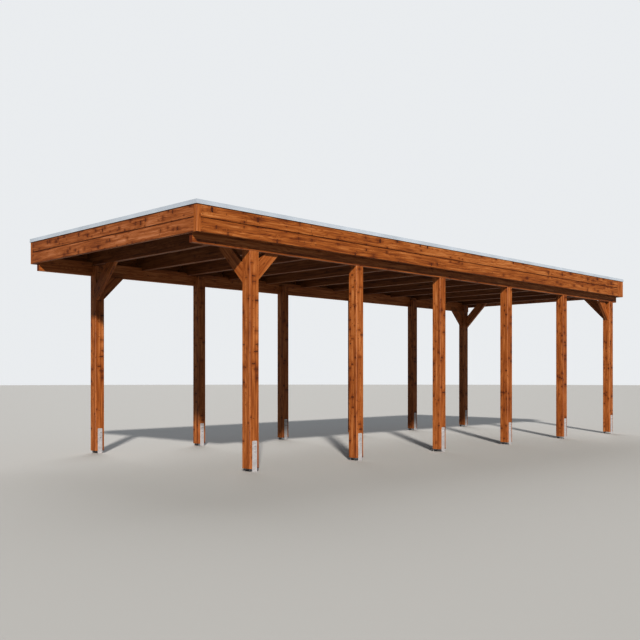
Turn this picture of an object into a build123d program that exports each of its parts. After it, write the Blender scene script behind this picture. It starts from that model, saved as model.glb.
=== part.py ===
from build123d import *
import os
from math import floor, sqrt

# A flat-roofed timber carport, in millimetres, resting on level ground.
# +Z is up, the entrance faces -Y, and the origin is the middle of the roof's plan at ground level.
# Right and left are as seen from in front of the entrance, so the right side is at +X.

# Posts
post_size = 115
post_arris = 4
bay_length = 1530
bay_count = 5
post_row_width = 2926
clear_height = 2130
tongue_height = 120

# Strap anchors
strap_width = 60
strap_thickness = 6
strap_height = 300
strap_corner = 8
strap_play = 0.25
foot_gap = 30

# Purlins and rafters
purlin_thickness = 45
purlin_height = 160
rafter_thickness = 60
rafter_height = 180
rafter_notch = 35
notch_play = 0.3
rafter_count = 12
timber_arris = 3

# Head braces
brace_width = 130
brace_thickness = 45
brace_drop = 295

# Fascia
front_overhang = 712
rear_overhang = 145
side_overhang = 102
board_thickness = 28
board_cover = 130
joint_bevel = 5
joint_gap = 4
tongue_thickness = 8
tongue_depth = 10
joint_play = 0.3
corner_batten = 45
end_board_width = 145

# Roof sheets
sheet_pitch = 250
sheet_ribs = 4
sheet_crown = 60
sheet_web = 30
sheet_depth = 40
sheet_gauge = 1
lap_play = 0.3
sheet_margin = 5

# Edge trim
trim_gauge = 2
trim_flange = 100
trim_rise = 28
trim_drop = 12
trim_nose = 8
trim_step = 1.5
trim_step_height = 9
trim_back = 14

# Places that follow from the sizes above
row_length = bay_count * bay_length
half_row = post_row_width / 2
half_width = half_row + side_overhang
half_length = (front_overhang + row_length + post_size + rear_overhang) / 2
first_post_y = -half_length + front_overhang + post_size / 2
last_post_y = first_post_y + row_length
row_front = first_post_y - post_size / 2
row_rear = last_post_y + post_size / 2
post_x = half_row - post_size / 2
purlin_x = half_row - purlin_thickness / 2
purlin_top = clear_height + purlin_height
rafter_bottom = purlin_top - rafter_notch
rafter_top = rafter_bottom + rafter_height
roof_top = rafter_top + sheet_depth
fascia_bottom = roof_top - 2 * board_cover
board_back = half_width - board_thickness
sides = {"right": 1, "left": -1}

os.makedirs("parts", exist_ok=True)


def upright_across(y):
    """An upright plane across the carport: its own x runs along +X and its own y upwards."""
    return Plane.XZ.offset(-y)


def upright_along(x):
    """An upright plane along the carport: its own x runs along +Y and its own y upwards."""
    return Plane.YZ.offset(x)


# Posts: the head is rebated, so that the purlin sits on a shoulder in front of a tongue
def build_post(name, side, y):
    with BuildPart() as post:
        with BuildSketch(Plane.XY.offset(foot_gap)):
            with Locations((side * post_x, y)):
                Rectangle(post_size, post_size)
        extrude(amount=clear_height + tongue_height - foot_gap)
        chamfer(post.edges().filter_by(Axis.Z), length=post_arris)
        with BuildSketch(Plane.XY.offset(clear_height)):
            with Locations((side * purlin_x, y)):
                Rectangle(purlin_thickness, post_size)
        extrude(amount=tongue_height, mode=Mode.SUBTRACT)
    post.part.label = name
    export_step(post.part, f"parts/{name}.step")


for side_name, side in sides.items():
    for number in range(bay_count + 1):
        build_post(f"post_{side_name}_{number + 1}", side, first_post_y + number * bay_length)


# Strap anchors: two flats gripping the post across the carport, on a web that carries its foot
for side_name, side in sides.items():
    inner_half = post_size / 2 + strap_play
    outer_half = inner_half + strap_thickness
    with BuildPart() as anchors:
        for number in range(bay_count + 1):
            y = first_post_y + number * bay_length
            with BuildSketch(upright_across(y)):
                for face in (-1, 1):
                    flat_middle = side * post_x + face * (inner_half + strap_thickness / 2)
                    with Locations((flat_middle, strap_height / 2)):
                        Rectangle(strap_thickness, strap_height)
                with Locations((side * post_x, foot_gap - strap_thickness / 2)):
                    Rectangle(2 * inner_half, strap_thickness)
            extrude(amount=strap_width / 2, both=True)
        top_corners = anchors.edges().filter_by(Axis.X).group_by(Axis.Z)[-1]
        chamfer(top_corners, length=strap_corner)
    anchors.part.label = f"anchors_{side_name}"
    export_step(anchors.part, f"parts/anchors_{side_name}.step")


# Purlins: flush with the posts' outer faces, running between the front and the rear fascia
for side_name, side in sides.items():
    with BuildPart() as purlin:
        with BuildSketch(upright_across(0)):
            with Locations((side * purlin_x, clear_height + purlin_height / 2)):
                Rectangle(purlin_thickness, purlin_height)
        extrude(amount=half_length - board_thickness, both=True)
        chamfer(purlin.edges().filter_by(Axis.Y).group_by(Axis.Z)[0], length=timber_arris)
    purlin.part.label = f"purlin_{side_name}"
    export_step(purlin.part, f"parts/purlin_{side_name}.step")


# Rafters: notched over both purlins, their ends carrying the fascia; the first and the last are flush with
# the outer faces of the corner posts
def rafter_profile(y, half_span):
    notch_width = purlin_thickness + 2 * notch_play
    notch_middle = rafter_bottom + rafter_notch / 2
    with BuildSketch(upright_across(y)) as profile:
        with Locations((0, rafter_bottom + rafter_height / 2)):
            Rectangle(2 * half_span, rafter_height)
        with Locations((-purlin_x, notch_middle), (purlin_x, notch_middle)):
            Rectangle(notch_width, rafter_notch, mode=Mode.SUBTRACT)
    return profile.sketch


first_rafter_y = row_front + rafter_thickness / 2
rafter_spacing = (row_rear - row_front - rafter_thickness) / (rafter_count - 1)
for number in range(rafter_count):
    rafter_y = first_rafter_y + number * rafter_spacing
    with BuildPart() as rafter:
        extrude(rafter_profile(rafter_y, board_back), amount=rafter_thickness / 2, both=True)
        chamfer(rafter.edges().filter_by(Axis.X).group_by(Axis.Z)[0], length=timber_arris)
    rafter.part.label = f"rafter_{number + 1}"
    export_step(rafter.part, f"parts/rafter_{number + 1}.step")

with BuildPart() as end_rafters:
    end_rafter_y = half_length - board_thickness - rafter_thickness / 2
    for y in (-end_rafter_y, end_rafter_y):
        extrude(rafter_profile(y, half_width - corner_batten), amount=rafter_thickness / 2, both=True)
    chamfer(end_rafters.edges().filter_by(Axis.X).group_by(Axis.Z)[0], length=timber_arris)
end_rafters.part.label = "end_rafters"
export_step(end_rafters.part, "parts/end_rafters.step")


# Head braces: at 45 degrees, cut plumb on the post and level under the timber they carry. Those along the
# carport stand in the middle of the post, and those across it are flush with the end of the row.
def brace_profile(plane, start, direction, top):
    """A brace seen from its side: from a post's face at start towards direction, up to the height top."""
    foot = clear_height - brace_drop
    rise = top - foot
    cut_length = brace_width * sqrt(2)
    with BuildSketch(plane) as profile:
        with BuildLine():
            Polyline(
                (start, foot),
                (start, foot + cut_length),
                (start + direction * (rise - cut_length), top),
                (start + direction * rise, top),
                close=True,
            )
        make_face()
    return profile.sketch


for side_name, side in sides.items():
    with BuildPart() as braces:
        post_inside = side * (half_row - post_size)
        for row_end, inwards in ((row_front, 1), (row_rear, -1)):
            along_start = row_end + inwards * post_size
            across_y = row_end + inwards * brace_thickness / 2
            profiles = [
                brace_profile(upright_along(side * post_x), along_start, inwards, clear_height),
                brace_profile(upright_across(across_y), post_inside, -side, rafter_bottom),
            ]
            for profile in profiles:
                extrude(profile, amount=brace_thickness / 2, both=True)
    braces.part.label = f"head_braces_{side_name}"
    export_step(braces.part, f"parts/head_braces_{side_name}.step")


# Fascia: two tongued and grooved boards high, with a bevelled shadow gap between them
def board_section(plane, face, outward, course):
    """A board's section with its front at face; course is lower or upper."""
    bottom = fascia_bottom if course == "lower" else fascia_bottom + board_cover
    front_bottom = bottom if course == "lower" else bottom + joint_gap
    top = bottom + board_cover

    def at(depth, height):
        return (face - outward * depth, height)

    points = [
        at(joint_bevel, front_bottom),
        at(0, front_bottom + joint_bevel),
        at(0, top - joint_bevel),
        at(joint_bevel, top),
    ]
    middle = board_thickness / 2
    if course == "lower":
        points += [
            at(middle - tongue_thickness / 2, top),
            at(middle - tongue_thickness / 2, top + tongue_depth),
            at(middle + tongue_thickness / 2, top + tongue_depth),
            at(middle + tongue_thickness / 2, top),
        ]
    points += [at(board_thickness, top), at(board_thickness, bottom)]
    if course == "upper":
        groove_half = tongue_thickness / 2 + joint_play
        groove_top = bottom + tongue_depth + joint_play
        points += [
            at(middle + groove_half, bottom),
            at(middle + groove_half, groove_top),
            at(middle - groove_half, groove_top),
            at(middle - groove_half, front_bottom),
        ]
    with BuildSketch(plane) as section:
        with BuildLine():
            Polyline(*points, close=True)
        make_face()
    return section.sketch


side_board_start = -half_length + corner_batten
side_board_end = half_length - corner_batten - end_board_width
for side_name, side in sides.items():
    for course in ("lower", "upper"):
        with BuildPart() as side_board:
            middle_plane = upright_across((side_board_start + side_board_end) / 2)
            extrude(
                board_section(middle_plane, side * half_width, side, course),
                amount=(side_board_end - side_board_start) / 2,
                both=True,
            )
        side_board.part.label = f"fascia_{side_name}_{course}"
        export_step(side_board.part, f"parts/fascia_{side_name}_{course}.step")

for end_name, end in (("front", -1), ("rear", 1)):
    for course in ("lower", "upper"):
        with BuildPart() as end_board:
            extrude(
                board_section(upright_along(0), end * half_length, end, course),
                amount=half_width - corner_batten,
                both=True,
            )
        end_board.part.label = f"fascia_{end_name}_{course}"
        export_step(end_board.part, f"parts/fascia_{end_name}_{course}.step")

with BuildPart() as corner_battens:
    with BuildSketch(Plane.XY.offset(fascia_bottom)):
        with GridLocations(2 * half_width - corner_batten, 2 * half_length - corner_batten, 2, 2):
            Rectangle(corner_batten, corner_batten)
    extrude(amount=roof_top - fascia_bottom)
    outermost_edges = corner_battens.edges().filter_by(Axis.Z).group_by(SortBy.DISTANCE)[-1]
    chamfer(outermost_edges, length=timber_arris)
corner_battens.part.label = "corner_battens"
export_step(corner_battens.part, "parts/corner_battens.step")

with BuildPart() as rear_end_boards:
    with BuildSketch(Plane.XY.offset(fascia_bottom)):
        for side in sides.values():
            with Locations((side * (half_width - board_thickness / 2), side_board_end + end_board_width / 2)):
                Rectangle(board_thickness, end_board_width)
    extrude(amount=roof_top - fascia_bottom)
rear_end_boards.part.label = "rear_end_boards"
export_step(rear_end_boards.part, "parts/rear_end_boards.step")


# Roof sheets: trapezoidal ribs along the carport, lying on the rafters, lapped on a crown
crown_height = sheet_depth - 2 * sheet_gauge - lap_play
lap_lift = sheet_gauge + lap_play
sheet_edge = half_width - corner_batten - sheet_margin
sheet_half_length = half_length - board_thickness - sheet_margin
lap_x = sheet_ribs * sheet_pitch / 2
half_crown = sheet_crown / 2
half_foot = half_crown + sheet_web


def rib(centre):
    return [
        (centre - half_foot, 0),
        (centre - half_crown, crown_height),
        (centre + half_crown, crown_height),
        (centre + half_foot, 0),
    ]


def sheet_section(points):
    """A sheet's section, from the line of its underside above the rafters."""
    underside = [(x, rafter_top + z) for x, z in points]
    top_side = [(x, z + sheet_gauge) for x, z in reversed(underside)]
    with BuildSketch(upright_across(0)) as section:
        with BuildLine():
            Polyline(*underside, *top_side, close=True)
        make_face()
    return section.sketch


outer_ribs = floor((sheet_edge - lap_x - half_foot) / sheet_pitch)
with BuildPart() as outer_sheets:
    for side in sides.values():
        line = [(lap_x, crown_height)] + rib(lap_x)[2:]
        for number in range(outer_ribs):
            line += rib(lap_x + (number + 1) * sheet_pitch)
        line += [(sheet_edge, 0)]
        extrude(sheet_section([(side * x, z) for x, z in line]), amount=sheet_half_length, both=True)
outer_sheets.part.label = "roof_sheets_outer"
export_step(outer_sheets.part, "parts/roof_sheets_outer.step")

lapping_web = [
    (lap_x - half_foot, 0),
    (lap_x - half_crown, crown_height + lap_lift),
    (lap_x + half_crown, crown_height + lap_lift),
    (lap_x + half_foot, lap_lift),
]
with BuildPart() as middle_sheet:
    line = [(-x, z) for x, z in reversed(lapping_web)]
    for number in range(1, sheet_ribs):
        line += rib(number * sheet_pitch - lap_x)
    line += lapping_web
    extrude(sheet_section(line), amount=sheet_half_length, both=True)
middle_sheet.part.label = "roof_sheet_middle"
export_step(middle_sheet.part, "parts/roof_sheet_middle.step")


# Edge trim: a bent metal section capping the fascia, mitred at the corners
def trim_section(plane, face):
    """The trim's section on the fascia's front at face: a flange, a raised nose and a stepped front."""
    def at(out, height):
        return (face + out, roof_top + height)

    upper_nose = trim_nose - trim_step
    with BuildSketch(plane) as section:
        with BuildLine():
            Polyline(
                at(-trim_flange, 0),
                at(-trim_back + trim_gauge, 0),
                at(-trim_back + trim_gauge, trim_rise - trim_gauge),
                at(upper_nose - trim_gauge, trim_rise - trim_gauge),
                at(upper_nose - trim_gauge, trim_step_height - trim_gauge),
                at(trim_nose - trim_gauge, trim_step_height - trim_gauge),
                at(trim_nose - trim_gauge, -trim_drop),
                at(trim_nose, -trim_drop),
                at(trim_nose, trim_step_height),
                at(upper_nose, trim_step_height),
                at(upper_nose, trim_rise),
                at(-trim_back, trim_rise),
                at(-trim_back, trim_gauge),
                at(-trim_flange, trim_gauge),
                close=True,
            )
        make_face()
    return section.sketch


with BuildPart() as side_trims:
    extrude(trim_section(upright_across(0), half_width), amount=half_length + trim_nose, both=True)
    for end in (-1, 1):
        split(bisect_by=Plane((half_width, end * half_length, 0), z_dir=(-1, end, 0)), keep=Keep.BOTTOM)
    mirror(side_trims.part, about=Plane.YZ)
side_trims.part.label = "edge_trim_sides"
export_step(side_trims.part, "parts/edge_trim_sides.step")

with BuildPart() as end_trims:
    extrude(trim_section(upright_along(0), half_length), amount=half_width + trim_nose, both=True)
    for side in (-1, 1):
        split(bisect_by=Plane((side * half_width, half_length, 0), z_dir=(side, -1, 0)), keep=Keep.BOTTOM)
    mirror(end_trims.part, about=Plane.XZ)
end_trims.part.label = "edge_trim_ends"
export_step(end_trims.part, "parts/edge_trim_ends.step")
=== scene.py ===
import math
import random
from functools import partial

import bmesh
import bpy
from bpy.props import FloatProperty, FloatVectorProperty, IntProperty, PointerProperty
from mathutils import Matrix, Vector


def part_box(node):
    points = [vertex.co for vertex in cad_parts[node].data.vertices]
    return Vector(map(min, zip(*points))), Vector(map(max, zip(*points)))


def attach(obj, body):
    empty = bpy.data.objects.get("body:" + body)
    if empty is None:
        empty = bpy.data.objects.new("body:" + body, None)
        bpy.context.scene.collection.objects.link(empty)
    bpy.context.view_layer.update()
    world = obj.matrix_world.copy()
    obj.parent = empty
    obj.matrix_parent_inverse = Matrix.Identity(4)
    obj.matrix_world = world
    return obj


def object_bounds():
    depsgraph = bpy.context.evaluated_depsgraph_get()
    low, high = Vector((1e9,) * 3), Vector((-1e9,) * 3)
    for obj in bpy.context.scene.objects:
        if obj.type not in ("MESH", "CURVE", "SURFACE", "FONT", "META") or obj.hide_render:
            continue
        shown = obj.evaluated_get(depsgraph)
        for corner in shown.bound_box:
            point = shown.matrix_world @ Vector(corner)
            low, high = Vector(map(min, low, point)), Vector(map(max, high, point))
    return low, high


# The look of a flat-roofed timber carport, in metres, around its CAD parts.
# +Z is up, the entrance faces -Y, and the right side is at +X.

bl_info = {
    "name": "Timber Carport",
    "version": (1, 0, 0),
    "blender": (4, 5, 0),
    "location": "3D View > Sidebar > Carport",
    "description": "Stained timber, sheet metal, fixings and a studio stage for a carport",
    "category": "Object",
}

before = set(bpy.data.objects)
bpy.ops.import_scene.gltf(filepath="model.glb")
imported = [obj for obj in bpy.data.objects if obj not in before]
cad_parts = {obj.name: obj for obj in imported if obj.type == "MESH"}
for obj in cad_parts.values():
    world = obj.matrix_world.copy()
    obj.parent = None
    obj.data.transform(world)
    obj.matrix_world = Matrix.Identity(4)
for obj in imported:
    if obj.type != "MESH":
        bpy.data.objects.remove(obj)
cad_low, cad_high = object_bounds()

MM = 0.001
# Heights that differ by less than this are the same
CLOSE = 0.001 * MM
# Edges between faces that turn by less than this look rounded
SMOOTH_BELOW = math.radians(35)

SIDES = {"right": 1, "left": -1}
POSTS_A_SIDE = 6
RAFTERS = 12
POST_LAMELLAS = 3
BEAM_LAMELLAS = 4
BRACE_THICKNESS = 45 * MM

# The roof sheets' crowns are counted from the middle one
CROWN_PITCH = 250 * MM
LAP_CROWN = 2
OUTER_CROWN = 5

WASHER_HEIGHT = 2 * MM
NUT_HEIGHT = 8 * MM
BOLT_DIAMETER = 10 * MM
BOLTS_BELOW_STRAP_TOP = (45 * MM, 100 * MM)
# Screws in a post's tongue: how far along the purlin from the post's middle, and how far up it
TONGUE_SCREWS = ((-18 * MM, 35 * MM), (18 * MM, 85 * MM))
# Shares of a brace's length and of a board's height
BRACE_SCREWS = (0.12, 0.24, 0.76, 0.88)
BOARD_SCREWS = (0.28, 0.72)
# Screws across the end boards are counted from the middle one
OUTER_BOARD_SCREW = 3

# The turns that bring the grain upright
UPRIGHT = (0, 0, 0)
ALONG_X = (0, math.radians(-90), 0)
ALONG_Y = (math.radians(90), 0, 0)
ALONG_BRACE = (0, math.radians(45), 0)
# A cell of grain this long takes in the whole carport, and the upright ones start this low
WHOLE = 9
LOWEST = -4


def linear(hex_colour):
    """An sRGB hex colour as Blender's linear red, green and blue."""
    channels = [int(hex_colour[i:i + 2], 16) / 255 for i in (1, 3, 5)]
    return tuple(c / 12.92 if c <= 0.04045 else ((c + 0.055) / 1.055) ** 2.4 for c in channels)


# Settings


def colour_setting(name, description, hex_colour):
    return FloatVectorProperty(
        name=name,
        description=description,
        default=linear(hex_colour),
        size=3,
        min=0,
        max=1,
        subtype="COLOR",
    )


def length_setting(name, description, millimetres):
    return FloatProperty(
        name=name, description=description, default=millimetres * MM, min=0, unit="LENGTH"
    )


def number_setting(name, description, value):
    return FloatProperty(name=name, description=description, default=value, min=0)


class CarportTimberSettings(bpy.types.PropertyGroup):
    pale: colour_setting("Pale wood", "Stain where the wood drinks little of it", "#B77F50")
    middle: colour_setting("Stain", "The stain's usual tone", "#965925")
    dark: colour_setting("Late wood", "Stain in the hard, dark part of a growth ring", "#632E0C")
    knot: colour_setting("Knot", "The wood of a knot", "#5E2C11")
    knot_rim: colour_setting("Knot's rim", "The dark ring of bark round a knot", "#33140B")
    # Paler edges: stain rubbed thin, and a painted highlight along the arrises
    worn_and_highlit: colour_setting("Worn edge", "Stain rubbed thin on posts' and beams' edges", "#BC9076")
    ring_spacing: length_setting("Ring spacing", "Width of a growth ring", 6)
    knot_spacing: length_setting("Knot spacing", "Usual distance between knots along a board", 210)


class CarportMetalSettings(bpy.types.PropertyGroup):
    zinc: colour_setting("Zinc", "Hot-dip galvanised steel", "#C3C0C2")
    trim: colour_setting("Trim", "Mill-finished aluminium edge trim", "#C0C7D0")
    sheet: colour_setting("Sheet", "Coating of the roof sheets", "#A6A6A3")
    # The felt's dark grey is also painted shade on the roof's underside
    felt_and_shade: colour_setting("Felt", "Felt that keeps the roof sheets from dripping", "#6E6C69")
    washer: colour_setting("Sealing washer", "Rubber under the roof screws' heads", "#1E1E1E")
    bronze: colour_setting("Bronzed steel", "Coating of the wood screws", "#5C3A22")
    spangle: length_setting("Spangle", "Size of a zinc crystal", 9)


class CarportFixingSettings(bpy.types.PropertyGroup):
    bolt_flats: length_setting("Bolt flats", "Across the flats of an M10 head or nut", 16)
    bolt_head: length_setting("Bolt head", "Height of an M10 head", 6.4)
    bolt_washer: length_setting("Bolt washer", "Diameter of the washer", 22)
    screw_head: length_setting("Screw head", "Diameter of a timber screw's washer head", 14)
    board_screw: length_setting("Board screw", "Diameter of a countersunk head", 8)
    roof_washer: length_setting("Roof washer", "Diameter of a roof screw's washer", 16)
    roof_flats: length_setting("Roof screw flats", "Across the flats of a roof screw's head", 8)


class CarportStageSettings(bpy.types.PropertyGroup):
    floor: colour_setting("Floor", "The plain floor", "#B3B1AE")
    sky: colour_setting("Even light", "The even light all round", "#D6E2EE")
    sky_strength: number_setting("Even strength", "Strength of the even light", 0.28)
    backdrop: colour_setting("Backdrop", "The plain backdrop behind the floor", "#EFF1F3")
    key_strength: number_setting("Key strength", "Strength of the key light", 5.5)
    fill_strength: number_setting("Fill strength", "Strength of the soft fill light", 1.6)
    contrast: number_setting("Contrast", "Gamma of the view, under 1 for more contrast", 0.75)
    camera_height: length_setting("Camera height", "Height of the camera over the ground", 913.5)
    seed: IntProperty(
        name="Seed", description="Start of the random turns of the screws", default=7, min=0
    )


SETTINGS = {
    "carport_timber": CarportTimberSettings,
    "carport_metal": CarportMetalSettings,
    "carport_fixings": CarportFixingSettings,
    "carport_stage": CarportStageSettings,
}


# Modelling


def deselect():
    if bpy.context.mode != "OBJECT":
        bpy.ops.object.mode_set(mode="OBJECT")
    bpy.ops.object.select_all(action="DESELECT")


def edit(obj, face_wanted=None, edge_wanted=None):
    """Goes into edit mode on obj with only the wanted faces, or else wanted edges, selected."""
    deselect()
    obj.select_set(True)
    bpy.context.view_layer.objects.active = obj
    bpy.ops.object.mode_set(mode="EDIT")
    bpy.ops.mesh.select_mode(type="FACE" if face_wanted else "EDGE")
    bpy.ops.mesh.select_all(action="DESELECT")
    mesh = bmesh.from_edit_mesh(obj.data)
    for item in mesh.faces if face_wanted else mesh.edges:
        item.select_set(bool((face_wanted or edge_wanted)(item)))
    bmesh.update_edit_mesh(obj.data)


def disc(sides, diameter, thickness, base, rim):
    """A round or many-sided disc on the height base, its upper rim bevelled by rim."""
    deselect()
    middle = (0, 0, base + thickness / 2)
    bpy.ops.mesh.primitive_cylinder_add(
        vertices=sides, radius=diameter / 2, depth=thickness, location=middle
    )
    shape = bpy.context.object
    bpy.ops.object.transform_apply(location=True, rotation=True, scale=True)
    top = base + thickness
    edit(shape, edge_wanted=lambda edge: all(v.co.z > top - CLOSE for v in edge.verts))
    bpy.ops.mesh.bevel(offset=rim, segments=1, affect="EDGES")
    bpy.ops.object.mode_set(mode="OBJECT")
    return shape


def upper_face(height):
    """Tells whether a face looks up and lies at that height."""
    return lambda face: face.normal.z > 0.9 and abs(face.calc_center_median().z - height) < CLOSE


def step_in(width, rise):
    """Insets the selected face by width, and moves its inner part up by rise."""
    bpy.ops.mesh.inset(thickness=width)
    bpy.ops.mesh.extrude_region_move(TRANSFORM_OT_translate={"value": (0, 0, rise)})


def join(shapes):
    deselect()
    for shape in shapes:
        shape.select_set(True)
    bpy.context.view_layer.objects.active = shapes[0]
    bpy.ops.object.join()
    return shapes[0]


def hexagon(flats):
    """The diameter over the corners of a hexagon with that width across its flats."""
    return flats * 2 / math.sqrt(3)


def bolt_washer(sizes):
    return disc(20, sizes.bolt_washer, WASHER_HEIGHT, 0, 0.3 * MM)


def bolt_head(sizes):
    """A hexagon head on its washer."""
    washer = bolt_washer(sizes)
    head = disc(6, hexagon(sizes.bolt_flats), sizes.bolt_head, WASHER_HEIGHT, 0.7 * MM)
    return join([washer, head])


def bolt_nut(sizes):
    """A nut on its washer, hollowed round the bolt's end, which stands 5 mm out of it."""
    washer = bolt_washer(sizes)
    nut = disc(6, hexagon(sizes.bolt_flats), NUT_HEIGHT, WASHER_HEIGHT, 0.7 * MM)
    edit(nut, face_wanted=upper_face(WASHER_HEIGHT + NUT_HEIGHT))
    step_in(2.2 * MM, -0.8 * MM)
    end = disc(14, BOLT_DIAMETER, NUT_HEIGHT + 5 * MM, WASHER_HEIGHT, 0.8 * MM)
    return join([washer, nut, end])


def timber_screw(sizes):
    """A flat washer head, with a crown in its middle and a round drive in that."""
    flange = 1.2 * MM
    head = disc(14, sizes.screw_head, flange, 0, 0.4 * MM)
    edit(head, face_wanted=upper_face(flange))
    step_in(2 * MM, 1.2 * MM)
    step_in(1.4 * MM, -1.6 * MM)
    bpy.ops.object.mode_set(mode="OBJECT")
    return head


def board_screw(sizes):
    """A countersunk head let in almost flush, with its drive."""
    proud = 0.6 * MM
    head = disc(10, sizes.board_screw, proud, 0, 0.2 * MM)
    edit(head, face_wanted=upper_face(proud))
    step_in(2.2 * MM, -0.5 * MM)
    bpy.ops.object.mode_set(mode="OBJECT")
    return head


def roof_screw(sizes):
    """A hexagon head with its pressed collar, over the sealing washer."""
    collar_height = 1 * MM
    collar = disc(12, sizes.roof_washer - 3 * MM, collar_height, WASHER_HEIGHT, 0.3 * MM)
    base = WASHER_HEIGHT + collar_height
    head = disc(6, hexagon(sizes.roof_flats), 4.5 * MM, base, 0.5 * MM)
    return join([collar, head])


def roof_washer(sizes):
    """The sealing washer, squeezed out a little under the collar."""
    return disc(12, sizes.roof_washer, WASHER_HEIGHT, 0, 0.8 * MM)


def lay_out(master, name, places, turns, material, slot):
    """Copies master to each place, standing on it and pointing outwards, and joins the copies."""
    copies = []
    for point, outward in places:
        copy = master.copy()
        copy.data = master.data.copy()
        bpy.context.scene.collection.objects.link(copy)
        turn = Matrix.Rotation(turns.uniform(0, math.tau), 4, "Z")
        stand = Vector(outward).to_track_quat("Z", "Y").to_matrix().to_4x4()
        copy.matrix_world = Matrix.Translation(point) @ stand @ turn
        copies.append(copy)
    bpy.data.objects.remove(master)
    piece = join(copies)
    bpy.ops.object.transform_apply(location=True, rotation=True, scale=True)
    bpy.ops.object.shade_smooth_by_angle(angle=SMOOTH_BELOW)
    piece.name = name
    piece.data.name = name
    piece.data.materials.clear()
    piece.data.materials.append(bpy.data.materials[material])
    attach(piece, "root")


# Materials


def add_node(tree, kind, inputs=None, stops=None, **settings):
    """Adds a shader node with its settings, its links and a colour ramp's stops.

    An input goes by its name, or by its number where others have that name too. It is a value,
    another node's output, or another node, which gives its first output in use.
    """
    node = tree.nodes.new("ShaderNode" + kind)
    for key, value in settings.items():
        setattr(node, key, value)
    for socket, value in (inputs or {}).items():
        if isinstance(value, bpy.types.Node):
            value = next(output for output in value.outputs if output.enabled)
        if isinstance(value, bpy.types.NodeSocket):
            tree.links.new(value, node.inputs[socket])
        else:
            node.inputs[socket].default_value = value
    if stops:
        elements = node.color_ramp.elements
        while len(elements) < len(stops):
            elements.new(0.5)
        for element, (position, colour) in zip(elements, stops):
            element.position = position
            element.color = opaque(colour)
    return node


def new_material(name):
    """Makes an empty material, and gives back what adds a node to it."""
    material = bpy.data.materials.new(name)
    material.use_nodes = True
    material.node_tree.nodes.clear()
    return partial(add_node, material.node_tree)


def opaque(colour):
    return (*colour, 1)


def scale_of(*millimetres):
    """The scale along each axis that draws a pattern at those real sizes."""
    return tuple(1 / (size * MM) for size in millimetres)


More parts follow.
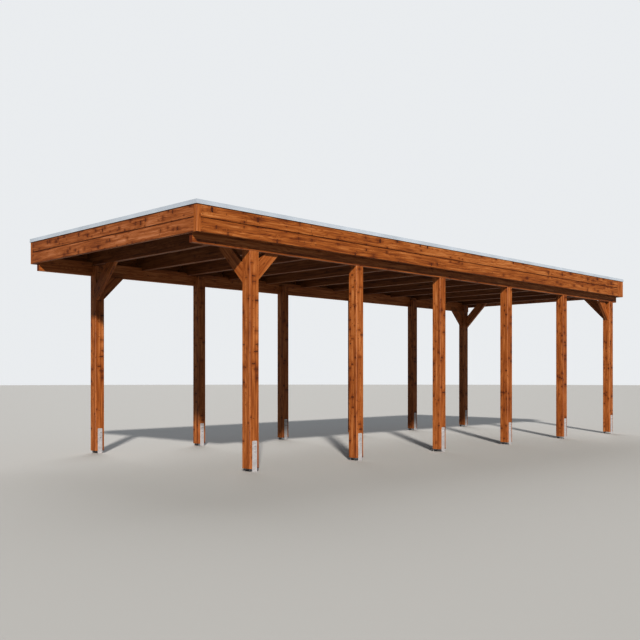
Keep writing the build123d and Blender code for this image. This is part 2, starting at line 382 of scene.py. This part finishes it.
def stained_spruce(
    name, turn, cell, cell_start, knot_look, bevel_stain_and_shade=0.0, wear_and_highlight=0.0, stain_and_light_tint=(1, 1, 1), fold=None
):
    """Planed spruce with a red-brown glaze stain: satin, with growth rings, streaks and dark knots.

    turn is the rotation that brings the grain upright. A board's own grain starts anew in each
    cell, a box of the size cell counted from cell_start. knot_look multiplies the distance
    between knots, their size along the grain, and their width across it compared with that.
    The bevel tone darkens the bevelled edges: stain pooled in the board joints, and painted
    shade in those grooves. The wear pales the bevelled edges: stain rubbed thin, and a painted
    highlight along the arrises. The tint multiplies the stain's colours; on the rafters it is
    painted shade, and on the end boards a painted cooler light. fold lays mirrored pieces over
    one another before the turn.
    """
    look = bpy.context.scene.carport_timber
    add = new_material(name)
    # With this, a MapRange node passes smoothly from 0 at From Min to 1 at From Max
    smooth = {"interpolation_type": "SMOOTHSTEP"}

    # The point, counted from the middle of its cell, and the way that the surface faces
    place = add("TexCoord").outputs
    counted = add("VectorMath", {0: place["Object"], 1: cell_start}, operation="SUBTRACT")
    board = add("VectorMath", {0: counted, 1: cell}, operation="SNAP")
    own = add("TexWhiteNoise", {"Vector": board}, noise_dimensions="3D").outputs
    if fold:
        point, facing = fold(add, place)
    else:
        half_cell = [start + size / 2 for start, size in zip(cell_start, cell)]
        middle = add("VectorMath", {0: board, 1: half_cell}, operation="ADD")
        point = add("VectorMath", {0: place["Object"], 1: middle}, operation="SUBTRACT")
        facing = place["Normal"]
    turned = add("Mapping", {"Vector": point, "Rotation": turn})
    facing = add("Mapping", {"Vector": facing, "Rotation": turn}, vector_type="NORMAL")
    facing = add("VectorMath", {0: facing}, operation="ABSOLUTE")
    facing = add("SeparateXYZ", {0: facing}).outputs

    # Each board comes from another place in the log, up to 0.9 m aside and 7 m up
    shift = add("VectorMath", {0: own["Color"], 1: (0.9, 0.9, 7.0)}, operation="MULTIPLY")
    moved = add("VectorMath", {0: turned, 1: shift}, operation="ADD")
    split = add("SeparateXYZ", {0: moved}).outputs
    # Y runs across the grain on a face that looks along X, and X on the others
    faces_x = add("Math", {0: facing["X"], 1: 0.6}, operation="GREATER_THAN")
    across = add("Mix", {"Factor": faces_x, 2: split["X"], 3: split["Y"]}, data_type="FLOAT")

    # Sizes in millimetres, both ways across the grain and along it. Real fibres are too fine to
    # show, so they are drawn about ten times as coarse
    patterns = {}
    for pattern, sizes, detail in (
        ("wobble", (22, 22, 22), 2.0),
        ("wander", (140, 140, 900), 2.0),
        ("cloud", (110, 110, 830), 2.0),
        ("streak", (17, 17, 310), 3.0),
        ("fibre", (3.8, 3.8, 125), 3.0),
    ):
        vector = add("VectorMath", {0: moved, 1: scale_of(*sizes)}, operation="MULTIPLY")
        patterns[pattern] = add("TexNoise", {"Vector": vector, "Scale": 1.0, "Detail": detail})

    def knots(pitch, smallest, largest, share):
        """At most one knot to a cell of pitch, in about share of the cells.

        Gives the distance from the nearest knot in its own radii, that distance drawn out along
        the grain, the knot itself and its rim.
        """
        column = add("Math", {0: across, 1: pitch[0]}, operation="DIVIDE")
        row = add("Math", {0: split["Z"], 1: pitch[1]}, operation="DIVIDE")
        flat = add("CombineXYZ", {0: column, 1: row})
        cells = add("TexVoronoi", {"Vector": flat, "Scale": 1.0}, voronoi_dimensions="2D").outputs
        gap = add("VectorMath", {0: flat, 1: cells["Position"]}, operation="SUBTRACT")
        chance = add("SeparateColor", {0: cells["Color"]}).outputs
        radius = add(
            "Math",
            {0: chance["Red"], 1: largest - smallest, 2: smallest},
            operation="MULTIPLY_ADD",
        )
        uneven = add("Math", {0: patterns["wobble"], 1: 1.2, 2: 0.4}, operation="MULTIPLY_ADD")
        radius = add("Math", {0: radius, 1: uneven}, operation="MULTIPLY")
        there = add("Math", {0: chance["Green"], 1: share}, operation="LESS_THAN")
        radius = add("Math", {0: radius, 1: there}, operation="MULTIPLY")
        radius = add("Math", {0: radius, 1: 0.01 * MM}, operation="MAXIMUM")
        distances = []
        for drawn_out in (1, 3.5):
            stretch = (pitch[0] / knot_width, pitch[1] / drawn_out, 0)
            away = add("VectorMath", {0: gap, 1: stretch}, operation="MULTIPLY")
            away = add("VectorMath", {0: away}, operation="LENGTH")
            distances.append(add("Math", {0: away, 1: radius}, operation="DIVIDE"))
        near, drawn = distances
        inside = add("MapRange", {"Value": near, "From Min": 1.15, "From Max": 0.8}, **smooth)
        strength = add("Math", {0: chance["Blue"], 1: 0.65, 2: 0.35}, operation="MULTIPLY_ADD")
        knot = add("Math", {0: inside, 1: strength}, operation="MULTIPLY")
        outer = add("MapRange", {"Value": near, "From Min": 0.3, "From Max": 0.85}, **smooth)
        return near, drawn, knot, add("Math", {0: knot, 1: outer}, operation="MULTIPLY")

    knot_spread, knot_size, knot_width = knot_look
    spacing = look.knot_spacing * knot_spread
    large = knots((150 * MM, spacing), 5 * MM * knot_size, 15 * MM * knot_size, 0.75)
    small = knots((90 * MM, 0.45 * spacing), 2.5 * MM * knot_size, 5 * MM * knot_size, 0.4)
    knot = add("Math", {0: large[2], 1: small[2]}, operation="MAXIMUM")
    rim = add("Math", {0: large[3], 1: small[3]}, operation="MAXIMUM")
    halo = add("MapRange", {"Value": large[0], "From Min": 4.0, "From Max": 0.8}, **smooth)
    flame = add("MapRange", {"Value": large[1], "From Min": 2.2, "From Max": 0.5}, **smooth)

    # The pith is up to 80 mm from the board's middle each way. The growth rings round it wander
    # by up to 110 mm, and stand aside by 16 mm for the large knots
    pith = add(
        "VectorMath",
        {0: own["Color"], 1: (160 * MM, 160 * MM, 0), 2: (-80 * MM, -80 * MM, 0)},
        operation="MULTIPLY_ADD",
    )
    from_pith = add("VectorMath", {0: turned, 1: pith}, operation="SUBTRACT")
    from_pith = add("VectorMath", {0: from_pith, 1: (1, 1, 0)}, operation="MULTIPLY")
    radius = add("VectorMath", {0: from_pith}, operation="LENGTH")
    radius = add("Math", {0: patterns["wander"], 1: 110 * MM, 2: radius}, operation="MULTIPLY_ADD")
    radius = add("Math", {0: halo, 1: 16 * MM, 2: radius}, operation="MULTIPLY_ADD")
    rings = add("Math", {0: radius, 1: look.ring_spacing}, operation="DIVIDE")
    ring = add("Math", {0: rings}, operation="FRACT")
    late = add("MapRange", {"Value": ring, "From Min": 0.35, "From Max": 0.95}, **smooth)

    # On a flat face one part of the normal is near 1, and on a bevelled edge none is
    flat_face = 0.93
    widest = add("Math", {0: facing["X"], 1: facing["Y"]}, operation="MAXIMUM")
    widest = add("Math", {0: widest, 1: facing["Z"]}, operation="MAXIMUM")
    bevelled = add("Math", {0: widest, 1: flat_face}, operation="LESS_THAN")
    end_grain = add("Math", {0: facing["Z"], 1: flat_face}, operation="GREATER_THAN")

    # How strongly each pattern darkens the stain, and the value at which it leaves it as it is
    shares = [
        (0.8, patterns["cloud"], 0.5),
        (1.4, patterns["streak"], 0.5),
        (0.8, patterns["fibre"], 0.5),
        (0.22, late, 0.35),
        (0.24, own["Value"], 0.5),
        (0.22, flame, 0.0),
        (1.0, end_grain, 0.0),
        # The boards' bevels darken: stain pooled in the joints, and painted shade in the grooves
        (bevel_stain_and_shade, bevelled, 0.0),
    ]
    tone = 0.5 - sum(share * usual for share, value, usual in shares)
    for share, value, usual in shares:
        tone = add("Math", {0: value, 1: share, 2: tone}, operation="MULTIPLY_ADD")
    stops = [
        (position, tuple(shade * part for shade, part in zip(stain, stain_and_light_tint)))
        for position, stain in ((0.0, look.pale), (0.5, look.middle), (1.0, look.dark))
    ]
    colour = add("ValToRGB", {"Fac": tone}, stops).outputs["Color"]
    # Paler patches along the bevelled edges: stain rubbed thin, and a painted highlight on the
    # arrises
    rubbed = add(
        "MapRange", {"Value": patterns["streak"], "From Min": 0.3, "From Max": 0.6}, **smooth
    )
    worn_and_highlit = add("Math", {0: bevelled, 1: wear_and_highlight}, operation="MULTIPLY")
    worn_and_highlit = add("Math", {0: worn_and_highlit, 1: rubbed}, operation="MULTIPLY")
    for share, shade in ((worn_and_highlit, look.worn_and_highlit), (knot, look.knot), (rim, look.knot_rim)):
        colour = add("Mix", {"Factor": share, 6: colour, 7: opaque(shade)}, data_type="RGBA")
    rough = add("Math", {0: patterns["fibre"], 1: 0.25, 2: 0.42}, operation="MULTIPLY_ADD")
    height = add("Math", {0: late, 1: 0.5, 2: patterns["fibre"]}, operation="MULTIPLY_ADD")
    bump = add("Bump", {"Strength": 0.35, "Distance": 0.4 * MM, "Height": height})
    shader = {"Base Color": colour, "Roughness": rough, "Normal": bump, "IOR": 1.45}
    add("OutputMaterial", {"Surface": add("BsdfPrincipled", shader)})


def fold_braces(add, place):
    """Mirrors the braces about the middles of the width and the row, onto one another."""
    post_low, post_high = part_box("post_right_1")
    row_low, row_high = post_low.y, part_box("post_right_6")[1].y
    half_gap = (row_high - row_low) / 2 - (post_high.x - post_low.x)
    corner = (post_low.x, half_gap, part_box("purlin_right")[0].z)
    row_middle = (0, (row_low + row_high) / 2, 0)
    middled = add("VectorMath", {0: place["Object"], 1: row_middle}, operation="SUBTRACT")
    mirrored = add("VectorMath", {0: middled}, operation="ABSOLUTE")
    point = add("VectorMath", {0: mirrored, 1: corner}, operation="SUBTRACT")
    sign = add("VectorMath", {0: middled}, operation="SIGN")
    facing = add("VectorMath", {0: place["Normal"], 1: sign}, operation="MULTIPLY")
    beside_post = add("SeparateXYZ", {0: point}).outputs["X"]
    along = add("Math", {0: beside_post, 1: 0.0}, operation="GREATER_THAN")
    folded = []
    for vector in (point, facing):
        split = add("SeparateXYZ", {0: vector}).outputs
        x, y = split["X"], split["Y"]
        reach = add("Mix", {"Factor": along, 2: x, 3: y}, data_type="FLOAT")
        depth = add("Mix", {"Factor": along, 2: y, 3: x}, data_type="FLOAT")
        folded.append(add("CombineXYZ", {0: reach, 1: depth, 2: split["Z"]}))
    return folded


def galvanised_steel(name):
    """Hot-dip galvanised steel: dull grey metal with faint crystals, some a little brighter."""
    look = bpy.context.scene.carport_metal
    add = new_material(name)
    place = add("TexCoord").outputs["Object"]
    crystals = add("TexVoronoi", {"Vector": place, "Scale": 1 / look.spangle}).outputs["Color"]
    clouds = add("TexNoise", {"Vector": place, "Scale": scale_of(70)[0], "Detail": 4.0})
    grey = add("SeparateColor", {0: crystals}).outputs["Red"]
    mixed = add("Math", {0: grey, 1: 0.4, 2: clouds}, operation="MULTIPLY_ADD")
    dull = tuple(0.72 * c for c in look.zinc)
    colour = add("ValToRGB", {"Fac": mixed}, [(0.3, dull), (1.0, look.zinc)])
    rough = add("Math", {0: grey, 1: 0.15, 2: 0.48}, operation="MULTIPLY_ADD")
    # Weathered zinc scatters most of its light, so little of it shines as bare metal does
    shader = {"Base Color": colour, "Metallic": 0.3, "Roughness": rough}
    add("OutputMaterial", {"Surface": add("BsdfPrincipled", shader)})


def mill_aluminium(name):
    """Mill-finished aluminium: bright and satin, a little cloudy from handling and weather."""
    look = bpy.context.scene.carport_metal
    add = new_material(name)
    place = add("TexCoord").outputs["Object"]
    clouds = add("TexNoise", {"Vector": place, "Scale": scale_of(330)[0], "Detail": 5.0})
    dull = tuple(0.86 * c for c in look.trim)
    colour = add("ValToRGB", {"Fac": clouds}, [(0.3, dull), (0.7, look.trim)])
    rough = add("Math", {0: clouds, 1: 0.1, 2: 0.42}, operation="MULTIPLY_ADD")
    # Dulled outdoors, it scatters nearly all of its light and looks almost white in the sun
    shader = {"Base Color": colour, "Metallic": 0.15, "Roughness": rough}
    add("OutputMaterial", {"Surface": add("BsdfPrincipled", shader)})


def coated_sheet(name):
    """Coated steel sheet: light grey and low in gloss, a little dusty on top, with a dark grey felt
    underneath that is also painted shade under the roof.
    """
    look = bpy.context.scene.carport_metal
    add = new_material(name)
    place = add("TexCoord").outputs
    dust = add(
        "TexNoise",
        {"Vector": place["Object"], "Scale": scale_of(620)[0], "Detail": 8.0, "Roughness": 0.65},
    )
    dusty = tuple(0.8 * c for c in look.sheet)
    coating = add("ValToRGB", {"Fac": dust}, [(0.35, dusty), (0.65, look.sheet)])
    # Faces that look down take the felt: anti-drip felt, darkened as painted shade under the roof
    upwards = add("SeparateXYZ", {0: place["Normal"]}).outputs["Z"]
    under = add("Math", {0: upwards, 1: -0.1}, operation="LESS_THAN")
    colour = add("Mix", {"Factor": under, 6: coating, 7: opaque(look.felt_and_shade)}, data_type="RGBA")
    rough = add("Math", {0: under, 1: 0.4, 2: 0.5}, operation="MULTIPLY_ADD")
    shader = {"Base Color": colour, "Roughness": rough}
    add("OutputMaterial", {"Surface": add("BsdfPrincipled", shader)})


def plain(name, colour, roughness):
    """One even colour: dull black sealing rubber, a coated screw's low gloss, or the matt floor."""
    add = new_material(name)
    shader = {"Base Color": opaque(colour), "Roughness": roughness}
    add("OutputMaterial", {"Surface": add("BsdfPrincipled", shader)})


def paint(nodes, material):
    """Gives CAD nodes that material, in each of their slots."""
    for node in nodes:
        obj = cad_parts[node]
        for material_slot in obj.material_slots:
            material_slot.material = bpy.data.materials[material]


# Operators


class CARPORT_OT_posts(bpy.types.Operator):
    """Stains the posts, each lamella with grain of its own"""

    bl_idname = "carport.posts"
    bl_label = "Posts"

    def execute(self, context):
        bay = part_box("post_right_2")[0].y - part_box("post_right_1")[0].y
        for side_name in SIDES:
            low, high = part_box(f"post_{side_name}_1")
            lamella = (high.x - low.x) / POST_LAMELLAS
            cell = (lamella, bay, WHOLE)
            # Counted from nine lamellas outside, with each post in the middle of a bay's length
            start = (low.x - 9 * lamella, (low.y + high.y - bay) / 2, LOWEST)
            name = f"stained_spruce_post_{side_name}"
            # The posts' pale edges are worn stain and a painted highlight
            stained_spruce(name, UPRIGHT, cell, start, (0.45, 0.6, 3.8), wear_and_highlight=0.25)
            posts = [f"post_{side_name}_{number + 1}" for number in range(POSTS_A_SIDE)]
            paint(posts, name)
        return {"FINISHED"}


class CARPORT_OT_purlins(bpy.types.Operator):
    """Stains the two purlins, each lamella with grain of its own"""

    bl_idname = "carport.purlins"
    bl_label = "Purlins"

    def execute(self, context):
        low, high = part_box("purlin_right")
        between = low.x + high.x
        lamella = (high.z - low.z) / BEAM_LAMELLAS
        cell, start = (between, WHOLE, lamella), (-between, -WHOLE / 2, low.z)
        name = "stained_spruce_purlin"
        # The purlins' pale edges are worn stain and a strong painted highlight
        stained_spruce(name, ALONG_Y, cell, start, (1, 0.8, 1.2), wear_and_highlight=0.9)
        paint(["purlin_right", "purlin_left"], name)
        return {"FINISHED"}


class CARPORT_OT_rafters(bpy.types.Operator):
    """Stains the rafters, each lamella with grain of its own"""

    bl_idname = "carport.rafters"
    bl_label = "Rafters"

    def execute(self, context):
        low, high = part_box("rafter_1")
        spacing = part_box("rafter_2")[0].y - low.y
        lamella = (high.z - low.z) / BEAM_LAMELLAS
        cell = (WHOLE, spacing, lamella)
        # Counted from eight cells outside, with each rafter in the middle of its own
        start = (-WHOLE / 2, (low.y + high.y) / 2 - 8.5 * spacing, low.z)
        # The rafters' darker tint is painted shade under the roof, and their pale edges are worn
        # stain and a painted highlight
        name, stain_and_light_tint = "stained_spruce_rafter", (0.6, 0.56, 0.5)
        stained_spruce(name, ALONG_X, cell, start, (1, 0.8, 1.2), wear_and_highlight=0.8, stain_and_light_tint=stain_and_light_tint)
        rafters = [f"rafter_{number + 1}" for number in range(RAFTERS)]
        paint([*rafters, "end_rafters"], name)
        return {"FINISHED"}


class CARPORT_OT_braces(bpy.types.Operator):
    """Stains the head braces at the four corner posts"""

    bl_idname = "carport.braces"
    bl_label = "Head braces"

    def execute(self, context):
        # The cells part the braces along the row from those across, 5 mm into the posts
        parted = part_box("post_right_1")[0].x + 5 * MM
        cell, start = (parted / 2, 1, 5), (0, 0.4, 0)
        name = "stained_spruce_brace"
        stained_spruce(name, ALONG_BRACE, cell, start, (0.6, 0.6, 1.2), fold=fold_braces)
        paint(["head_braces_right", "head_braces_left"], name)
        return {"FINISHED"}


class CARPORT_OT_fascia(bpy.types.Operator):
    """Stains the fascia's boards, its corner battens and the upright boards at the rear end"""

    bl_idname = "carport.fascia"
    bl_label = "Fascia"

    def execute(self, context):
        low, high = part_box("fascia_right_lower")
        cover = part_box("fascia_right_upper")[0].z - low.z
        # The growth rings are counted from this far behind the boards' faces
        behind = 60 * MM
        width, length = 2 * (high.x - behind), 2 * (cad_high.y - behind)
        side, end = "stained_spruce_side_board", "stained_spruce_end_board"
        cell, start = (width, WHOLE, cover), (-width, -WHOLE / 2, low.z)
        # The boards' darker bevels are stain pooled in the joints and painted shade in the grooves
        stain_and_light_tint = (1.02, 1.07, 1.1)
        stained_spruce(side, ALONG_Y, cell, start, (0.9, 1.1, 1.5), bevel_stain_and_shade=0.25, stain_and_light_tint=stain_and_light_tint)
        cell, start = (WHOLE, length, cover), (-WHOLE / 2, -length, low.z)
        # The end boards' bluer tint is painted cooler light on the faces at the carport's ends
        stain_and_light_tint = (0.99, 1.07, 1.55)
        stained_spruce(end, ALONG_X, cell, start, (0.42, 0.65, 2.1), bevel_stain_and_shade=0.25, stain_and_light_tint=stain_and_light_tint)
        for course in ("lower", "upper"):
            paint([f"fascia_right_{course}", f"fascia_left_{course}"], side)
            paint([f"fascia_front_{course}", f"fascia_rear_{course}"], end)
        # Cells a metre wide and long are enough to part the upright boards
        cell, start = (1, 1, WHOLE), (-3, -6, LOWEST)
        name = "stained_spruce_upright_board"
        stained_spruce(name, UPRIGHT, cell, start, (0.8, 0.7, 1.3))
        paint(["corner_battens", "rear_end_boards"], name)
        return {"FINISHED"}


class CARPORT_OT_anchors(bpy.types.Operator):
    """Finishes the strap anchors in galvanised steel"""

    bl_idname = "carport.anchors"
    bl_label = "Strap anchors"

    def execute(self, context):
        name = "hot_dip_galvanised_steel"
        galvanised_steel(name)
        paint(["anchors_right", "anchors_left"], name)
        return {"FINISHED"}


class CARPORT_OT_edge_trim(bpy.types.Operator):
    """Finishes the edge trim in aluminium"""

    bl_idname = "carport.edge_trim"
    bl_label = "Edge trim"

    def execute(self, context):
        name = "mill_finished_aluminium"
        mill_aluminium(name)
        paint(["edge_trim_sides", "edge_trim_ends"], name)
        return {"FINISHED"}


class CARPORT_OT_roof_sheets(bpy.types.Operator):
    """Finishes the roof sheets in coated and felted steel"""

    bl_idname = "carport.roof_sheets"
    bl_label = "Roof sheets"

    def execute(self, context):
        name = "coated_steel_sheet"
        coated_sheet(name)
        paint(["roof_sheets_outer", "roof_sheet_middle"], name)
        return {"FINISHED"}


def sizes_and_turns(context, kind):
    """The fixings' sizes, and the random turns of one kind of them, which goes by its number."""
    seed = context.scene.carport_stage.seed
    return context.scene.carport_fixings, random.Random(seed + kind)


def middle_y(node):
    low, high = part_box(node)
    return (low.y + high.y) / 2


class CARPORT_OT_anchor_bolts(bpy.types.Operator):
    """Bolts the posts between the flats of their anchors"""

    bl_idname = "carport.anchor_bolts"
    bl_label = "Anchor bolts"

    def execute(self, context):
        sizes, turns = sizes_and_turns(context, 0)
        heads, nuts = [], []
        for side_name, side in SIDES.items():
            low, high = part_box(f"anchors_{side_name}")
            outer, inner = (high.x, low.x) if side > 0 else (low.x, high.x)
            for number in range(POSTS_A_SIDE):
                y = middle_y(f"post_{side_name}_{number + 1}")
                for below_top in BOLTS_BELOW_STRAP_TOP:
                    heads.append(((outer, y, high.z - below_top), (side, 0, 0)))
                    nuts.append(((inner, y, high.z - below_top), (-side, 0, 0)))
        finish = ("hot_dip_galvanised_steel", "galvanised_steel")
        lay_out(bolt_head(sizes), "anchor_bolt_heads", heads, turns, *finish)
        lay_out(bolt_nut(sizes), "anchor_bolt_nuts", nuts, turns, *finish)
        return {"FINISHED"}


class CARPORT_OT_frame_screws(bpy.types.Operator):
    """Screws the posts' tongues to the purlins, and the braces to what they hold"""

    bl_idname = "carport.frame_screws"
    bl_label = "Frame screws"

    def execute(self, context):
        sizes, turns = sizes_and_turns(context, 1)
        # On the end posts the screws stand aside for the brace that runs across
        aside = {0: 20 * MM, POSTS_A_SIDE - 1: -20 * MM}
        places = []
        for side_name, side in SIDES.items():
            purlin_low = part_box(f"purlin_{side_name}")[0]
            for number in range(POSTS_A_SIDE):
                low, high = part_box(f"post_{side_name}_{number + 1}")
                inside = low.x if side > 0 else high.x
                for across, up in TONGUE_SCREWS:
                    y = (low.y + high.y) / 2 + aside.get(number, 0) + across
                    places.append(((inside, y, purlin_low.z + up), (-side, 0, 0)))
        places.extend(brace_screw_places())
        # The board screws have this coating too
        plain("bronzed_steel", context.scene.carport_metal.bronze, 0.5)
        finish = ("bronzed_steel", "galvanised_steel")
        lay_out(timber_screw(sizes), "frame_screws", places, turns, *finish)
        return {"FINISHED"}


def brace_screw_places():
    """Two screws near each end of every brace, in the middle of its lower edge."""
    places = []
    post_low, post_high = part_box("post_right_1")
    row_front, row_rear = post_low.y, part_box("post_right_6")[1].y
    post_size = post_high.x - post_low.x
    for side_name, side in SIDES.items():
        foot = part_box(f"head_braces_{side_name}")[0].z
        along_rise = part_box(f"purlin_{side_name}")[0].z - foot
        across_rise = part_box(f"head_braces_{side_name}")[1].z - foot
        for row_end, inwards in ((row_front, 1), (row_rear, -1)):
            for share in BRACE_SCREWS:
                x = side * (post_low.x + post_size / 2)
                y = row_end + inwards * (post_size + share * along_rise)
                places.append(((x, y, foot + share * along_rise), (0, inwards, -1)))
                x = side * (post_low.x - share * across_rise)
                y = row_end + inwards * BRACE_THICKNESS / 2
                places.append(((x, y, foot + share * across_rise), (-side, 0, -1)))
    return places


class CARPORT_OT_board_screws(bpy.types.Operator):
    """Screws the fascia boards to the rafters and to the corner battens"""

    bl_idname = "carport.board_screws"
    bl_label = "Board screws"

    def execute(self, context):
        sizes, turns = sizes_and_turns(context, 2)
        low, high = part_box("fascia_right_lower")
        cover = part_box("fascia_right_upper")[0].z - low.z
        front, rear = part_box("fascia_front_lower"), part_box("fascia_rear_lower")
        heights = [low.z + cover * (course + share) for course in (0, 1) for share in BOARD_SCREWS]
        # The outermost screws go into the corner battens
        outermost_y, outermost_x = low.y + 22 * MM, front[1].x - 25 * MM
        places = []
        for z in heights:
            for side in SIDES.values():
                for number in range(RAFTERS):
                    y = middle_y(f"rafter_{number + 1}")
                    places.append(((side * high.x, y, z), (side, 0, 0)))
                places.append(((side * high.x, outermost_y, z), (side, 0, 0)))
            for step in range(-OUTER_BOARD_SCREW, OUTER_BOARD_SCREW + 1):
                x = step * outermost_x / OUTER_BOARD_SCREW
                places.append(((x, front[0].y, z), (0, -1, 0)))
                places.append(((x, rear[1].y, z), (0, 1, 0)))
        finish = ("bronzed_steel", "galvanised_steel")
        lay_out(board_screw(sizes), "board_screws", places, turns, *finish)
        return {"FINISHED"}


class CARPORT_OT_roof_screws(bpy.types.Operator):
    """Screws the roof sheets down on their crowns, with sealing washers"""

    bl_idname = "carport.roof_screws"
    bl_label = "Roof screws"

    def execute(self, context):
        sizes, turns = sizes_and_turns(context, 3)
        crown_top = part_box("roof_sheets_outer")[1].z
        lap_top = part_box("roof_sheet_middle")[1].z
        places = []
        for number in range(RAFTERS):
            y = middle_y(f"rafter_{number + 1}")
            for crown in range(-OUTER_CROWN, OUTER_CROWN + 1):
                lapped = abs(crown) == LAP_CROWN
                if lapped or (crown + number) % 2 == 0:
                    top = lap_top if lapped else crown_top
                    places.append(((crown * CROWN_PITCH, y, top), (0, 0, 1)))
        plain("sealing_rubber", context.scene.carport_metal.washer, 0.8)
        finish = ("sealing_rubber", "roof_sheet")
        lay_out(roof_washer(sizes), "roof_screw_washers", places, turns, *finish)
        finish = ("hot_dip_galvanised_steel", "galvanised_steel")
        lay_out(roof_screw(sizes), "roof_screws", places, turns, *finish)
        return {"FINISHED"}


class CARPORT_OT_stage(bpy.types.Operator):
    """Lays a plain floor and sets the lights and the camera"""

    bl_idname = "carport.stage"
    bl_label = "Stage, lights and camera"

    def execute(self, context):
        look = context.scene.carport_stage
        lay_floor(look)
        light_world(context.scene, look)
        # Each light's strength, its width in degrees, its colour and where it comes from
        lights = {
            "key_light": (look.key_strength, 3, (1.0, 0.965, 0.91), (1.0, -0.885, 0.735)),
            "fill_light": (look.fill_strength, 40, (0.95, 0.97, 1.0), (-1.0, 0.8, 0.9)),
        }
        for name, (strength, angle, colour, towards) in lights.items():
            bpy.ops.object.light_add(type="SUN", location=(0, 0, 6))
            sun = context.object
            sun.name = name
            sun.data.energy = strength
            sun.data.angle = math.radians(angle)
            sun.data.color = colour
            sun.rotation_euler = Vector(towards).to_track_quat("Z", "Y").to_euler()

        # A level camera off the front right corner, as fitted to the carport's edges
        bpy.ops.object.camera_add(
            location=(7.55, -8.857, look.camera_height),
            rotation=(math.radians(90), 0, math.radians(44.38)),
        )
        camera = context.object
        camera.name = "camera"
        camera.data.sensor_width = 36
        camera.data.lens = 46.97
        camera.data.shift_y = 0.0892
        context.scene.camera = camera
        context.scene.view_settings.view_transform = "Standard"
        context.scene.view_settings.gamma = look.contrast
        return {"FINISHED"}


def lay_floor(look):
    """A round floor out to the horizon, half a millimetre under the anchors' ends."""
    deselect()
    bpy.ops.mesh.primitive_circle_add(
        vertices=96, radius=90, fill_type="NGON", location=(0, 0, -0.5 * MM)
    )
    floor = bpy.context.object
    floor.name = "stage_floor"
    plain("plain_floor", look.floor, 0.9)
    floor.data.materials.append(bpy.data.materials["plain_floor"])


def light_world(scene, look):
    """An even light from all round, and a plain backdrop that only the camera sees."""
    world = bpy.data.worlds.new("studio")
    scene.world = world
    world.use_nodes = True
    world.node_tree.nodes.clear()
    add = partial(add_node, world.node_tree)
    even = add("Background", {"Color": opaque(look.sky), "Strength": look.sky_strength})
    backdrop = add("Background", {"Color": opaque(look.backdrop), "Strength": 1.0})
    seen = add("LightPath").outputs["Is Camera Ray"]
    light = add("MixShader", {"Fac": seen, 1: even, 2: backdrop})
    add("OutputWorld", {"Surface": light})


OPERATORS = (
    CARPORT_OT_posts,
    CARPORT_OT_purlins,
    CARPORT_OT_rafters,
    CARPORT_OT_braces,
    CARPORT_OT_fascia,
    CARPORT_OT_anchors,
    CARPORT_OT_edge_trim,
    CARPORT_OT_roof_sheets,
    CARPORT_OT_anchor_bolts,
    CARPORT_OT_frame_screws,
    CARPORT_OT_board_screws,
    CARPORT_OT_roof_screws,
    CARPORT_OT_stage,
)


class CARPORT_PT_panel(bpy.types.Panel):
    """Lists the carport's steps and settings"""

    bl_idname = "CARPORT_PT_panel"
    bl_label = "Carport"
    bl_space_type = "VIEW_3D"
    bl_region_type = "UI"
    bl_category = "Carport"

    def draw(self, context):
        for operator in OPERATORS:
            self.layout.operator(operator.bl_idname)
        for group in SETTINGS:
            box = self.layout.box()
            settings = getattr(context.scene, group)
            for key in settings.__annotations__:
                box.prop(settings, key)


def register():
    for group, kind in SETTINGS.items():
        bpy.utils.register_class(kind)
        setattr(bpy.types.Scene, group, PointerProperty(type=kind))
    for operator in OPERATORS:
        bpy.utils.register_class(operator)
    bpy.utils.register_class(CARPORT_PT_panel)


def unregister():
    bpy.utils.unregister_class(CARPORT_PT_panel)
    for operator in reversed(OPERATORS):
        bpy.utils.unregister_class(operator)
    for group, kind in SETTINGS.items():
        delattr(bpy.types.Scene, group)
        bpy.utils.unregister_class(kind)


def main():
    register()
    for operator in OPERATORS:
        group, name = operator.bl_idname.split(".")
        getattr(getattr(bpy.ops, group), name)()


if __name__ == "__main__":
    main()
